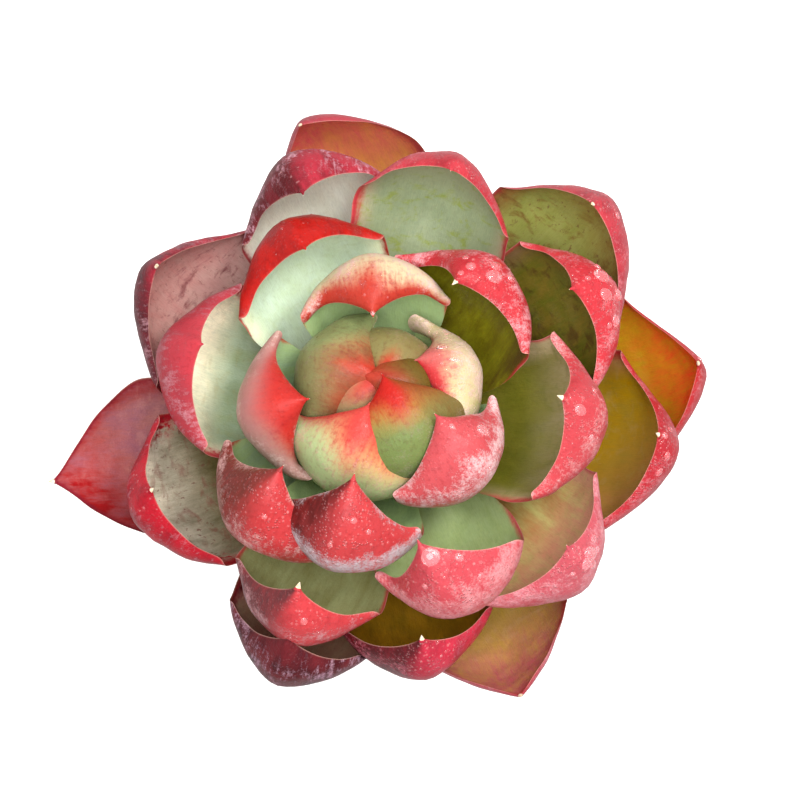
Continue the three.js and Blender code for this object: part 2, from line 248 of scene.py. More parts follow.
skins = {
    # its dark brown back is partly its own colour and partly painted shade, for a bud lying in the shade of
    # its neighbours
    "budBrown": {"back": "#634f1f", "red": ("#a43625", 0.72, 1.0), "deep": ("#751424", 0.2),
                 "sooner": (0.1, 0.05, 0.0), "ragged": 0.4, "frost": ("#c8aaad", 0.0), "frostEdge": 0.0,
                 "wet": 0.0},
    "budRose": {"back": "#9a815b", "red": ("#b33d34", 0.72, 0.98), "deep": ("#751424", 0.2),
                "sooner": (0.15, 0.1, 0.0), "ragged": 0.5, "frost": ("#c8aaad", 0.15), "wet": 0.0},
    "budOlive": {"back": "#7a7648", "warm": ("#857245", 0.4), "red": ("#ac2c1c", 0.84, 1.0),
                 "deep": ("#751424", 0.15), "sooner": (0.12, -0.02, 0.0), "ragged": 0.6,
                 "frost": ("#b0987c", 0.25), "frostEdge": 0.0, "filmAndShade": ("#81633f", 0.5, -1.0), "wet": 0.0},
    # its brown coat on the counterclockwise side is painted shade
    "budGreen": {"back": "#6c7a44", "warm": ("#ac7e3a", 0.75, 0.72, 0.86), "red": ("#ab1c14", 0.78, 0.93),
                 "deep": ("#751424", 0.05), "sooner": (0.06, -0.03, 0.0), "ragged": 0.55,
                 "frost": ("#a8a088", 0.2), "frostEdge": 0.0, "filmAndShade": ("#744e25", 0.7, 1.0, 0.0),
                 "wet": 0.1},
    "budSage": {"back": "#7c8656", "warm": ("#85653f", 0.1), "red": ("#b13021", 0.7, 0.95),
                "deep": ("#743623", 0.7), "sooner": (0.06, -0.03, 0.06), "ragged": 0.45,
                "frost": ("#c8aaad", 0.1), "frostEdge": 0.1, "filmAndShade": ("#755034", 0.45, 1.0, -0.2),
                "wet": 0.1},
    "cream": {"inner": ("#a9b677", "#a0b87a"), "back": "#a49e65", "warm": ("#c8b88c", 0.9, 0.6, 0.7),
              "red": ("#b83234", 0.78, 0.94), "deep": ("#751424", 0.0), "sooner": (0.04, 0.14, -0.07),
              "ragged": 1.3, "frost": ("#dcbcb0", 0.7, 0.0, 0.85), "frostEdge": 0.2,
              "filmAndShade": ("#b89488", 0.3, 1.0, -0.5), "wet": 0.3},
    "peach": {"inner": ("#9db882", "#a0b87a"), "back": "#a4b07c", "warm": ("#c48a58", 0.95, 0.68, 0.9, 0.2),
              "red": ("#bf3f38", 0.72, 0.95), "deep": ("#751424", 0.05), "sooner": (0.09, 0.2, 0.06),
              "ragged": 0.8, "frost": ("#d4a89c", 0.3), "frostEdge": 0.0, "wet": 0.1},
    "blossom": {"inner": ("#a2b984", "#a0b87a"), "back": "#bcb08a", "warm": ("#ccbc98", 0.8),
                "red": ("#ad3528", 0.75, 0.93), "deep": ("#751424", 0.1), "sooner": (0.05, 0.28, 0.06),
                "ragged": 0.9, "frost": ("#d8b0a8", 0.6, 0.0, 0.8), "frostEdge": 0.15, "wet": 0.1},
    "frostEdge": {"inner": ("#a1bd88", "#a0b87a"), "red": ("#ba4a4e", 0.5, 0.66), "deep": ("#751424", 0.1),
                  "frost": ("#ddbbbb", 0.7, 0.0, 0.75, 0.35), "frostEdge": 0.8, "wet": 0.4},
    "mauveSide": {"inner": ("#9db68e", "#a0b87a"), "back": "#958168", "red": ("#b12b25", 0.68, 0.86),
                  "deep": ("#751424", 0.15), "sooner": (0.05, 0.0, -0.05), "ragged": 0.8,
                  "frost": ("#cab3a6", 0.4, 0.0, 0.5), "frostEdge": 0.8,
                  "filmAndShade": ("#a47470", 0.85, 0.0, -0.1, 0.65), "wet": 0.1},
    # painted shade: the inner face is darker than its own olive and turns dark brown towards the tip, as in
    # the shade deep in the rosette
    "oliveDusk": {"inner": ("#7e7a14", "#5a4e0c"), "glow": ("#54401f", 0.8, 0.5, 0.85, -0.3),
                  "rim": (0.5, 1.1), "red": ("#b52f36", 0.15, 0.45), "deep": ("#751424", 0.15),
                  "frost": ("#dd9a9e", 0.6, 0.0, 0.8), "frostEdge": 0.6, "streaky": 0.6, "wet": 0.7},
    "coralFrost": {"inner": ("#8ba271", "#a0b87a"), "red": ("#b83a3c", 0.2, 0.5), "deep": ("#8e2a30", 0.3),
                   "frost": ("#c2b5b9", 0.9, 0.02, 0.36), "filmAndShade": ("#400a06", 0.9, -1.0, -0.05, 1.4),
                   "wet": 0.75},
    "sage": {"inner": ("#c6d8c2", "#b8cbaa"), "glow": ("#fbfdd6", 0.7, 0.5, 1.0, -0.05),
             "blotch": ("#a3b06a", 0.3), "rim": (0.7, 1.3), "red": ("#ac1812", 0.1, 0.4),
             "deep": ("#811919", 0.6), "frost": ("#cb9086", 0.1, 0.0, 0.6), "frostEdge": 0.1, "wet": 0.2},
    # its dark olive inner face is partly its own colour and partly painted shade from deep in the rosette
    "oliveRed": {"inner": ("#6e6a22", "#5c5c16"), "glow": ("#d8c09c", 0.65, 0.4, 0.75),
                 "blotch": ("#58601c", 0.35), "rim": (0.6, 2.2), "red": ("#bb4046", 0.15, 0.4),
                 "deep": ("#751424", 0.15), "frost": ("#df9f9e", 0.5, 0.0, 0.9), "frostEdge": 0.6,
                 "wet": 0.7},
    "coralMauve": {"inner": ("#9ab28d", "#a0b87a"), "red": ("#b43436", 0.25), "deep": ("#89292c", 0.25),
                   "sooner": (0.1, 0.1, 0.12), "frost": ("#d6a8a2", 0.55, 0.0, 0.5), "frostEdge": 0.9,
                   "filmAndShade": ("#5c2820", 0.95, -1.0, -0.25), "wet": 0.7},
    "blotchedSage": {"inner": ("#98a47e", "#8b9a76"), "glow": ("#c5a58c", 0.6, 0.6, 1.0),
                     "blotch": ("#8a983c", 0.95), "rim": (2.0, 1.8), "red": ("#c0343f", 0.1, 0.4),
                     "deep": ("#7e1420", 0.45), "frost": ("#cf6f78", 0.42), "frostEdge": 0.2, "wet": 0.75},
    "coralDew": {"inner": ("#91a367", "#9fb07c"), "rim": (1.4, 0.6), "red": ("#b8424a", 0.2, 0.5),
                 "deep": ("#751424", 0.1), "frost": ("#d78d90", 0.85, 0.0, 0.7), "frostEdge": 0.6,
                 "wet": 0.8},
    "paleBand": {"inner": ("#9cb093", "#90a47a"), "glow": ("#fff6d8", 1.0, 0.44, 0.62),
                 "blotch": ("#a09258", 0.3), "rim": (3.1, 3.1), "red": ("#b83640", 0.05, 0.35),
                 "deep": ("#75363b", 0.2), "ragged": 1.8, "frost": ("#b87a82", 0.42), "streaky": 0.8,
                 "filmAndShade": ("#6c3038", 0.35, 0.0, -0.1, 0.85)},
    # its dark olive inner face is partly its own colour and partly painted shade from deep in the rosette
    "oliveBrown": {"inner": ("#7d6a24", "#56600f"), "glow": ("#8f6a50", 0.7, 0.5, 0.95),
                   "blotch": ("#4c3018", 0.8), "rim": (0.7, 1.3), "red": ("#bb323a", 0.15, 0.4),
                   "deep": ("#751424", 0.1), "frost": ("#dd9297", 0.45), "frostEdge": 0.4, "wet": 0.8},
    "greyHood": {"inner": ("#a2a672", "#8a8a54"), "red": ("#bc3a3e", 0.5, 0.66), "deep": ("#751424", 0.2),
                 "sooner": (0.1, 0.1, 0.1), "frost": ("#c89597", 0.38, 0.0, 0.5), "frostEdge": 0.2,
                 "filmAndShade": ("#5c2a2c", 1.0, -1.0), "wet": 0.35},
    # its inner face is lifted nearly to white: partly its own pale grey-green, partly painted light where
    # the face lies in shade
    "greySage": {"inner": ("#ecf4e2", "#dbe6cf"), "glow": ("#e6cabc", 0.5), "rim": (1.4, 2.2),
                 "red": ("#a42837", 0.05, 0.35), "deep": ("#741a25", 0.8),
                 "frost": ("#d09aa6", 0.5, 0.0, 0.9), "frostEdge": 0.35, "streaky": 0.8,
                 "filmAndShade": ("#4c0e12", 0.9, 1.0, -0.3), "wet": 0.25},
    "greenMaroon": {"inner": ("#b2ad68", "#9e6c30"), "glow": ("#e6a294", 0.8, 0.4, 0.8),
                    "blotch": ("#8da04e", 0.3), "specks": 0.3, "rim": (0.7, 2.0),
                    "red": ("#bd505a", 0.1, 0.35), "deep": ("#751424", 0.1), "frost": ("#e09aa0", 0.65),
                    "wet": 0.9},
    "speckled": {"inner": ("#4c4518", "#6c6038"), "glow": ("#e6dcc6", 0.85, 0.42, 0.76),
                 "blotch": ("#7a2a2c", 0.6), "specks": 1.0, "rim": (4.6, 4.2), "red": ("#ae1626", 0.0, 0.3),
                 "deep": ("#72121d", 0.6), "ragged": 2.6, "frost": ("#ca838e", 0.2), "frostEdge": 0.2,
                 "streaky": 0.9, "wet": 0.25},
    "oliveFlecked": {"inner": ("#a3a65a", "#929a48"), "glow": ("#9c5a34", 0.85, 0.58, 0.95, -0.2),
                     "blotch": ("#7a4a26", 0.8), "specks": 0.8, "rim": (1.0, 1.8),
                     "red": ("#b33741", 0.1, 0.35), "deep": ("#751424", 0.4), "frost": ("#cf747c", 0.48),
                     "frostEdge": 0.3, "wet": 0.8},
    "darkOlive": {"inner": ("#9a7014", "#6e560e"), "glow": ("#7e3a16", 0.8, 0.5, 0.95), "specks": 0.2,
                  "rim": (1.4, 2.2), "red": ("#ba2c40", 0.0, 0.3), "deep": ("#6c121b", 0.4),
                  "frost": ("#ce6c7b", 0.3, 0.0, 0.9), "frostEdge": 0.2, "filmAndShade": ("#4a1014", 1.0, -1.0),
                  "wet": 0.7},
    "greyMauve": {"inner": ("#bf9f94", "#ae8a84"), "glow": ("#c07a74", 0.7), "blotch": ("#74343a", 0.9),
                  "specks": 0.7, "rim": (3.6, 2.2), "red": ("#a62636", 0.0, 0.3), "deep": ("#50121d", 0.8),
                  "ragged": 1.8, "frost": ("#b38188", 0.36), "frostEdge": 0.25, "streaky": 0.9,
                  "filmAndShade": ("#4a1a20", 0.95, 1.0, -0.5, 0.95)},
    # the yellow of its inner face is partly its own colour and partly painted light shining through the
    # leaf from behind
    "yellowOrange": {"inner": ("#957c22", "#a68003"), "glow": ("#b0785a", 0.75, 0.5, 1.0, -0.3),
                     "blotch": ("#a8905a", 0.35), "specks": 0.15, "rim": (1.7, 2.5),
                     "red": ("#ae2730", 0.0, 0.3), "deep": ("#751424", 0.2), "frost": ("#d27d84", 0.4),
                     "frostEdge": 0.4, "wet": 1.0},
    "wine": {"inner": ("#9d8665", "#866742"), "glow": ("#a36163", 0.7), "specks": 0.5, "rim": (3.1, 2.2),
             "red": ("#7a2228", 0.0, 0.3), "deep": ("#3c0a10", 0.9), "ragged": 1.4,
             "frost": ("#b48c9c", 0.4, 0.0, 0.8), "frostEdge": 0.2, "streaky": 0.9,
             "filmAndShade": ("#3c0c14", 0.6, 0.0), "wet": 0.2},
    # the yellow-tan of its inner face is partly its own colour and partly painted light shining through the
    # leaf from behind
    "tan": {"inner": ("#dca048", "#cf8c50"), "glow": ("#d8565e", 0.9, 0.5, 0.95), "rim": (1.4, 2.0),
            "red": ("#a83b45", 0.0, 0.3), "deep": ("#752431", 0.3), "frost": ("#ce8a8e", 0.4),
            "frostEdge": 0.3, "wet": 0.4},
    # the yellow of its inner face is partly its own colour and partly painted light shining through the
    # leaf from behind
    "oliveTan": {"inner": ("#b39a34", "#b2a144"), "glow": ("#ac545a", 0.9, 0.45),
                 "blotch": ("#c2a27e", 0.3), "specks": 0.2, "rim": (2.2, 1.1), "red": ("#ac303d", 0.0, 0.3),
                 "deep": ("#751424", 0.25), "frost": ("#d58690", 0.4), "frostEdge": 0.4, "wet": 0.6},
    "rose": {"inner": ("#a16a74", "#bb7c74"), "glow": ("#981619", 0.9, 0.5, 1.0, 0.15),
             "blotch": ("#ca8c82", 0.5), "specks": 0.2, "rim": (1.4, 0.8), "red": ("#841f2c", 0.0, 0.3),
             "deep": ("#5c1424", 0.5), "frost": ("#af8287", 0.5), "wet": 0.1},
    # the amber of its inner face is partly its own colour and partly painted light shining through the leaf
    # from behind
    "amber": {"inner": ("#b0a012", "#b28a16"), "glow": ("#ec3626", 0.9, 0.5, 1.0), "specks": 0.0,
              "rim": (2.0, 2.5), "red": ("#b3282c", 0.0, 0.3), "deep": ("#751424", 0.2),
              "frost": ("#d27f86", 0.35), "frostEdge": 0.3, "wet": 0.4},
}


def lookOf(name):
    # a skin's own values, filled up from the plain skin
    look = dict(plainSkin)
    for layer, own in skins[name].items():
        look[layer] = own + plainSkin[layer][len(own):] if isinstance(own, tuple) else own
    return look


def makeSkin(name):
    look = lookOf(name)
    n = Nodes("skin_" + name)
    coords = n.coords()
    place = n.attribute("place", "Vector")          # millimetres along and across, leaf number
    glow, warm, frost, wet, blush, outside = (
        n.attribute(layer) for layer in ("glow", "warm", "frost", "wet", "blush", "outside"))

    def laidOut(along, across, detail, roughness, distortion=0.0):
        # noise drawn out along the leaf
        return n.noise(n.scaled(place, (along, across, 1.0)), 1.0, detail, roughness, distortion)

    patches = laidOut(0.16, 0.3, 4.0, 0.6, 0.4)
    brush = laidOut(0.35, 1.7, 4.0, 0.6)
    fine = laidOut(0.8, 6.0, 3.0, 0.6)
    stains = laidOut(0.5, 0.3, 5.0, 0.65, 0.5)
    flecks = laidOut(0.75, 1.3, 3.0, 0.7)
    cloud = n.noise(coords, 300, 4.0, 0.6)
    grain = n.noise(coords, 1500, 3.0, 0.6)
    powder = n.noise(coords, 4200, 2.0, 0.6)
    sway, streak, granule = patches - 0.5, brush - 0.5, grain - 0.5

    inner = n.mix(n.ramp(patches * 0.7 + brush * 0.3, 0.36, 0.66), *look["inner"])
    turn = glow * (sway * 1.8 + 1.0) + streak * glow * 0.8
    inner = n.mix(turn.clamped(), inner, look["glow"][0])
    inner = n.mix(n.attribute("blotch") * n.ramp(stains, 0.52, 0.66, 0.0, 0.8), inner, look["blotch"][0])
    inner = n.mix(n.ramp(fine, 0.45, 0.7, 0.0, 0.3), inner, (0.62, 0.62, 0.6, 1), "MULTIPLY")
    inner = n.mix(n.ramp(grain, 0.5, 0.72, 0.0, 0.25), inner, (0.7, 0.7, 0.68, 1), "MULTIPLY")
    turn = (warm + sway * 0.9).clamped() * n.ramp(warm, 0.0, 0.15)
    back = n.mix(turn, look["back"], look["warm"][0])
    flesh = n.mix(outside, inner, back)

    red = n.mix(n.ramp(patches, 0.44, 0.62) * look["deep"][1], look["red"][0], look["deep"][0])
    # the edge of the red is torn: noise counts most where the red is half way in
    torn = streak * 5.0 + granule * 3.5 + sway * 2.5
    torn = blush * (1.0 - blush) * torn * look["ragged"]
    color = n.mix((blush + torn).clamped(), flesh, red)
    veins = outside * n.ramp(granule * 1.6 + streak, 0.0, 0.35, 0.0, 0.5)
    color = n.mix(veins, color, (0.62, 0.4, 0.42, 1), "MULTIPLY")

    # a thin coat over the back: pale wax on some leaves, and on others dark wine, painted shade on the side
    # away from the light
    filmAndShade = n.attribute("filmAndShade") * n.ramp(patches + streak, 0.3, 0.6, 0.8, 1.0)
    color = n.mix(filmAndShade, color, look["filmAndShade"][0])
    # wax powder: soft clouds of fine grains, in some leaves drawn out into pale streaks that partly stand
    # in as painted highlight
    dust = (cloud - 0.5) * 1.2 + granule * 0.9 + (powder - 0.5) * 0.9
    dust = dust + streak * (2.2 * look["streaky"]) + sway + frost * 0.68
    dust = n.ramp(dust, 0.21, 0.76) * n.ramp(frost, 0.0, 0.3)
    color = n.mix(dust * 0.85, color, look["frost"][0])
    color = n.mix(n.ramp(flecks, 0.6, 0.67) * n.attribute("specks") * 0.7, color, "#6a2f2e")
    # pale line along the margins: partly the margin's own paler flesh, partly painted light shining through
    # the thin edge
    color = n.mix(n.attribute("edge"), color, "#eab6a4")

    # fine dew: small domes that catch the light, more of them in some patches; each also lightens the skin
    # to pale pink as a painted highlight
    beads = n.ramp(n.cells(n.scaled(place, (2.3, 2.3, 3.0)), 1.0), 0.1, 0.42, 1.0, 0.0)
    beads = beads * (wet * n.ramp(cloud, 0.44, 0.56))
    # painted highlight: the beads lighten the skin to pale pink
    color = n.mix(beads * 0.3, color, "#ee9c9c")

    relief = n.bump(cloud, 0.35, 0.0003)
    relief = n.bump(grain, 0.5, 0.00014, relief)
    relief = n.bump(fine, 0.35, 0.00012, relief)
    relief = n.bump(beads, 0.7, 0.0003, relief)
    n.setShader(Base_Color=color, Normal=relief, IOR=1.42, Specular_IOR_Level=0.2,
                Roughness=n.ramp(dust * 0.4 + cloud * 0.4, 0.1, 0.6, 0.26, 0.6),
                Subsurface_Weight=0.08, Subsurface_Radius=(1.0, 0.45, 0.25), Subsurface_Scale=0.0014,
                Coat_Weight=(wet * n.ramp(beads, 0.0, 0.5, 0.2, 1.0)).clamped(),
                Coat_Roughness=0.12, Coat_IOR=1.33, Coat_Normal=relief)
    return n.material


def makePointSkin():
    n = Nodes("leaf_point")
    grain = n.noise(n.coords(), 2600, 3.0, 0.6)
    n.setShader(Base_Color=n.mix(n.ramp(grain, 0.35, 0.65), "#f3e7cd", "#dcb890"), IOR=1.42,
                Normal=n.bump(grain, 0.5, 0.0001), Roughness=n.ramp(grain, 0.3, 0.7, 0.35, 0.6),
                Subsurface_Weight=0.15, Subsurface_Radius=(1.0, 0.7, 0.4), Subsurface_Scale=0.0008)
    return n.material


def ripple(points, size, seed):
    # smooth unevenness of about -1 to 1, with bumps of that size
    draw = np.random.default_rng(seed)
    total = np.zeros(points.shape[:-1])
    for _ in range(6):
        way = draw.normal(size=3)
        way *= draw.uniform(0.7, 1.4) * 2 * math.pi / (size * np.linalg.norm(way))
        total += np.sin(points @ way + draw.uniform(0, 2 * math.pi))
    return total / 3


def addMesh(name, points, faces):
    mesh = bpy.data.meshes.new(name)
    mesh.from_pydata([tuple(p) for p in points], [], faces)
    mesh.update()
    mesh.shade_smooth()
    piece = bpy.data.objects.new(name, mesh)
    bpy.context.scene.collection.objects.link(piece)
    return piece


def joinRings(points, faces, first, sides):
    # faces of a stack of rings that starts at the point first and is followed by its top and
    # bottom point
    top, bottom = len(points) - 2, len(points) - 1
    last = top - sides
    faces += [(first + (k + 1) % sides, first + k, bottom) for k in range(sides)]
    for ring in range(first, last, sides):
        for k in range(sides):
            a, b = ring + k, ring + (k + 1) % sides
            faces.append((a, b, b + sides, a + sides))
    faces += [(last + k, last + (k + 1) % sides, top) for k in range(sides)]


class Leaf:
    def __init__(self, index):
        azimuth, reach, rise, tip, halfWidth, curlStart, twist, skin = rosette["leaves"][index]
        share = index / (len(rosette["leaves"]) - 1)
        self.number = index + 1
        self.name = "leaf_%02d" % self.number
        self.skin = skin
        self.halfWidth = halfWidth * rosette["spread"]
        self.thickness = rosette["budThickness"] if index < rosette["budLeaves"] else rosette["thickness"]
        radius = rosette["attachRadius"] + rosette["attachSpread"] * share
        steps = rosette["spineSteps"]
        s = np.linspace(0.0, 1.0, steps + 1)
        bend = rosette["steadyBend"]
        turn = np.radians(tip - rise) * (bend * s + (1 - bend) * ease(s, curlStart, 1.02))
        swing = np.radians(twist) * ease(s, 0.35, 1.0)
        farthest = np.max(np.cumsum(np.cos(math.radians(rise) + turn)) / (steps + 1))
        self.length = (reach - radius - 0.6 * self.thickness) / farthest
        out = Vector((math.cos(math.radians(azimuth)), math.sin(math.radians(azimuth)), 0))
        lift = math.radians(rise)
        along = out * math.cos(lift) + Vector((0, 0, 1)) * math.sin(lift)
        face = Vector((0, 0, 1)) * math.cos(lift) - out * math.sin(lift)
        side = face.cross(along)
        point = out * (radius - rosette["rootDepth"])
        point.z = rosette["crown"] + rosette["attachTop"] - rosette["attachStep"] * index
        step = (self.length + rosette["rootDepth"]) / steps
        spine = []
        for i in range(steps + 1):
            if i:
                hinge = Matrix.Rotation(turn[i] - turn[i - 1], 3, -side)
                along = hinge @ along
                face = hinge @ face
                sway = Matrix.Rotation(swing[i] - swing[i - 1], 3, face)
                along = sway @ along
                side = sway @ side
                point = point + along * step
            spine.append((*point, *along, *face, *side))
        self.spine = np.array(spine)
        # the hood: from here to the tip the back of the leaf faces up
        self.fold = min(0.92, float(np.argmax(np.append(self.spine[:, 8], -1.0) < 0)) / steps)
        self.build()

    def widthAt(self, s):
        widest = rosette["widest"]
        base = rosette["baseHalfWidth"] / self.halfWidth
        low = base + (1 - base) * np.sin(np.clip(s / widest, 0, 1) * math.pi / 2) ** 1.15
        t = np.clip((s - widest) / (1 - widest), 0, 1)
        high = (1 - t ** rosette["tipFullness"]) ** rosette["tipDraw"]
        return self.halfWidth * np.where(s < widest, low, high)

    def thicknessAt(self, s, v):
        body = 0.75 + 0.25 * np.cos(math.pi * np.clip(s / 0.9, 0, 1))
        base = 0.5 + 0.5 * ease(s, 0, 0.3)
        tip = (1 - 0.55 * ease(s, 0.7, 1)) * np.sqrt(1 - s ** 16)
        return self.thickness * (body * base * tip)[:, None] * (1 - np.abs(v[None, :]) ** 1.65) ** 1.05

    def build(self):
        rows, columns, steps = rosette["rows"], rosette["columns"], rosette["spineSteps"]
        s = np.linspace(0, 1, rows + 1) ** 0.9
        v = np.sin(np.linspace(-1, 1, columns + 1) * math.pi / 2)
        low = np.clip(np.floor(s * steps).astype(int), 0, steps - 1)
        part = (s * steps - low)[:, None]
        spine = self.spine[low] * (1 - part) + self.spine[low + 1] * part
        center, face, side = spine[:, None, 0:3], spine[:, None, 6:9], spine[:, None, 9:12]
        width = self.widthAt(s)
        cup = np.radians(rosette["cup"]) * (0.55 + 0.45 * ease(s, 0, 0.6))
        cup = cup * (1 - rosette["tipFlat"] * ease(s, 0.72, 1))
        angle = v[None, :] * cup[:, None]
        bow = (width / cup)[:, None]
        soft = rosette["keelSoftness"]
        ridge = np.sqrt(v * v + soft) - math.sqrt(soft)
        keel = (rosette["keel"] * ease(s, 0.45, 0.95) * width)[:, None] * ridge[None, :]
        middle = (center + side * (bow * np.sin(angle))[..., None]
                  + face * (bow * (1 - np.cos(angle)) + keel)[..., None])
        normal = np.cross(np.gradient(middle, axis=0), np.gradient(middle, axis=1))
        normal /= np.maximum(np.linalg.norm(normal, axis=2, keepdims=True), 1e-9)
        thick = self.thicknessAt(s, v)[..., None]
        # slight unevenness that fades at the margin, so both faces still meet there
        seed = self.number - 1
        calm = np.minimum(1.0, 3.0 * thick / self.thickness)
        uneven = ripple(middle, 9.0, seed) * 0.2 + ripple(middle, 3.2, 50 + seed) * 0.06
        uneven = normal * (uneven[..., None] * calm)
        # the margins wave a little from side to side
        wave = ripple(middle, 7.0, 90 + seed) * np.abs(v)[None, :] ** 4
        wave = wave * (ease(s, 0.25, 0.5) * (1 - ease(s, 0.9, 1)))[:, None]
        wave = side * (rosette["waviness"] * wave * np.sign(v)[None, :])[..., None]
        share = rosette["innerShare"]
        self.s, self.v, self.normal = s, v, normal
        self.innerSide = middle + normal * thick * share + uneven + wave
        self.outerSide = middle - normal * thick * (1 - share) + uneven + wave

    def tuck(self, inner):
        # where this leaf would come up through the bowl of a leaf nearer the middle, it is
        # pressed down to just under that leaf, as neighbouring leaves press on each other
        down, reach = Vector((0, 0, -1)), rosette["tuckReach"]
        push = np.zeros(self.innerSide.shape[:2])
        first, last = int(np.argmax(self.s > 0.2)), int(np.argmax(self.s > 0.8))
        low, high = inner.corners
        for grid in (self.innerSide, self.outerSide):
            near = np.all((grid[..., :2] > low[:2]) & (grid[..., :2] < high[:2]), axis=2)
            near &= grid[..., 2] < high[2] + 4
            near[:first] = False
            near[last:] = False
            for i, j in zip(*np.nonzero(near)):
                start = Vector(grid[i, j])
                hit, normal, face, depth = inner.tree.ray_cast(start, down, reach)
                if hit is None or (normal.z > 0 and face >= inner.innerFaces):
                    continue
                if normal.z > 0:
                    hit, normal, face, gap = inner.tree.ray_cast(hit + down * 0.01, down, reach)
                    if hit is None:
                        continue
                    depth += gap
                push[i, j] = max(push[i, j], depth + rosette["tuckGap"])
        if push.max() > 0:
            for _ in range(8):
                wide = np.pad(push, 1, mode="edge")
                mean = (wide[:-2, 1:-1] + wide[2:, 1:-1] + wide[1:-1, :-2] + wide[1:-1, 2:]) / 4
                push = np.maximum(push, mean * 0.9)
            self.innerSide[..., 2] -= push
            self.outerSide[..., 2] -= push

    def settle(self):
        # a search tree of the finished form, for the leaves further out and for the dew
        grid = np.concatenate([self.innerSide.reshape(-1, 3), self.outerSide.reshape(-1, 3)])
        rows, columns = self.innerSide.shape[:2]
        a = (np.arange(rows - 1)[:, None] * columns + np.arange(columns - 1)).ravel()
        inner = np.stack([a, a + columns, a + columns + 1, a + 1], axis=1)
        outer = inner[:, ::-1] + rows * columns
        self.innerFaces = len(inner)
        self.tree = BVHTree.FromPolygons(grid.tolist(), np.concatenate([inner, outer]).tolist())
        self.corners = (grid.min(axis=0), grid.max(axis=0))

    def mesh(self):
        rows, columns = len(self.s) - 1, len(self.v) - 1
        points, marks = [], []
        innerAt = np.zeros((rows + 1, columns + 1), int)
        outerAt = np.zeros((rows + 1, columns + 1), int)

        def addPoint(grid, i, j, outside):
            points.append(grid[i, j] * mm)
            marks.append((self.s[i], self.v[j], outside))
            return len(points) - 1

        for i in range(rows):
            for j in range(columns + 1):
                edge = j in (0, columns)
                innerAt[i, j] = addPoint(self.innerSide, i, j, 0.5 if edge else 0.0)
                outerAt[i, j] = innerAt[i, j] if edge else addPoint(self.outerSide, i, j, 1.0)
        tip = addPoint(self.innerSide, rows, columns // 2, 0.5)
        innerAt[rows, :] = tip
        outerAt[rows, :] = tip
        faces = []
        for i in range(rows):
            for j in range(columns):
                a, b, c, d = innerAt[i, j], innerAt[i + 1, j], innerAt[i + 1, j + 1], innerAt[i, j + 1]
                faces.append((a, b, c, d) if i < rows - 1 else (a, b, d))
                a, b, c, d = outerAt[i, j], outerAt[i, j + 1], outerAt[i + 1, j + 1], outerAt[i + 1, j]
                faces.append((a, b, c, d) if i < rows - 1 else (a, b, c))
        for j in range(columns):
            quad = [innerAt[0, j], innerAt[0, j + 1], outerAt[0, j + 1], outerAt[0, j]]
            faces.append(tuple(dict.fromkeys(quad)))
        skinFaces = self.addTipPoint(points, faces)
        marks += [(1.0, 0.0, 1.0)] * (len(points) - len(marks))
        piece = addMesh(self.name + "_skin", points, faces)
        self.paint(piece, *np.array(marks).T)
        material = np.zeros(len(faces), dtype=np.int32)
        material[skinFaces:] = 1
        piece.data.polygons.foreach_set("material_index", material)
        return piece

    def addTipPoint(self, points, faces):
        # the leaf draws out into a small point, horny and cream at its end, bent outwards a little;
        # returns the number of the first face that is horny
        size = leafPoint["sizes"].get(self.number, leafPoint["small"])
        center, along, face, side = (Vector(self.spine[-1][k:k + 3]) for k in (0, 3, 6, 9))
        center = center - along * leafPoint["sunk"]
        first, firstFace = len(points), len(faces)
        sides, rings = leafPoint["sides"], leafPoint["rings"]
        reach = size + leafPoint["sunk"]
        for i in range(rings):
            t = i / rings
            middle = center + along * reach * t - face * leafPoint["bend"] * size * t * t
            radius = leafPoint["radius"] * (0.4 + 0.6 * size) * (1 - t) ** 0.9
            for k in range(sides):
                turn = 2 * math.pi * k / sides
                p = middle + (side * math.cos(turn) + face * (0.7 * math.sin(turn))) * radius
                points.append(np.array(p) * mm)
        points.append(np.array(center + along * reach - face * leafPoint["bend"] * size) * mm)
        points.append(np.array(center) * mm)
        joinRings(points, faces, first, sides)
        horny = leafPoint["horny"] if self.number in leafPoint["sizes"] else 0.0
        return firstFace + sides * (1 + int((rings - 1) * (1 - horny)))

    def paint(self, piece, s, v, outside):
        look = lookOf(self.skin)
        width = self.widthAt(s)
        hood = (s - self.fold) / (1 - self.fold)
        inside = 1 - outside
        toMargin = (1 - np.abs(v)) * width + 3.0 * (1 - ease(s, 0.2, 0.5))

        # red on the back towards the tip, and on the inner face along the margins
        _, start, end = look["red"]
        keel, margin, oneSide = look["sooner"]
        reach = s + keel * np.exp(-(v / 0.2) ** 2) + margin * np.abs(v) ** 3 + oneSide * v
        rim = np.where(v > 0, *look["rim"]) * (0.6 + 0.4 * ease(s, 0.5, 0.85))
        faceRed = 1 - ease(toMargin, 0.3 * rim, 1.7 * rim)
        blush = outside * ease(reach, start, end) + inside * faceRed * ease(s, 0.2, 0.5)

        _, amount, start, end, oneSide = look["frost"]
        frost = amount * (1 - ease(hood, start, end))
        frost = frost * (np.clip(0.5 + 0.5 * oneSide * np.sign(v) * np.sqrt(np.abs(v)), 0, 1) * 2)
        frost = np.maximum(frost, amount * look["frostEdge"] * ease(np.abs(v), 0.62, 1.0))
        _, amount, start, end, oneSide = look["warm"]
        warm = amount * ease(s + oneSide * v, start, end) * (1 - 0.35 * ease(np.abs(v), 0.5, 1.0))
        _, amount, start, end, oneSide = look["glow"]
        glow = amount * ease(s + oneSide * v, start, end)
        glow = np.maximum(glow, amount * 0.8 * (1 - ease(toMargin, 1.0, 5.0)) * ease(s, 0.25, 0.5))
        # the thin coat: pale wax on some skins, dark painted shade on others
        _, amount, oneSide, across, end = look["filmAndShade"]
        filmAndShade = amount * (ease(oneSide * v, across, across + 0.55) if oneSide else 1.0)

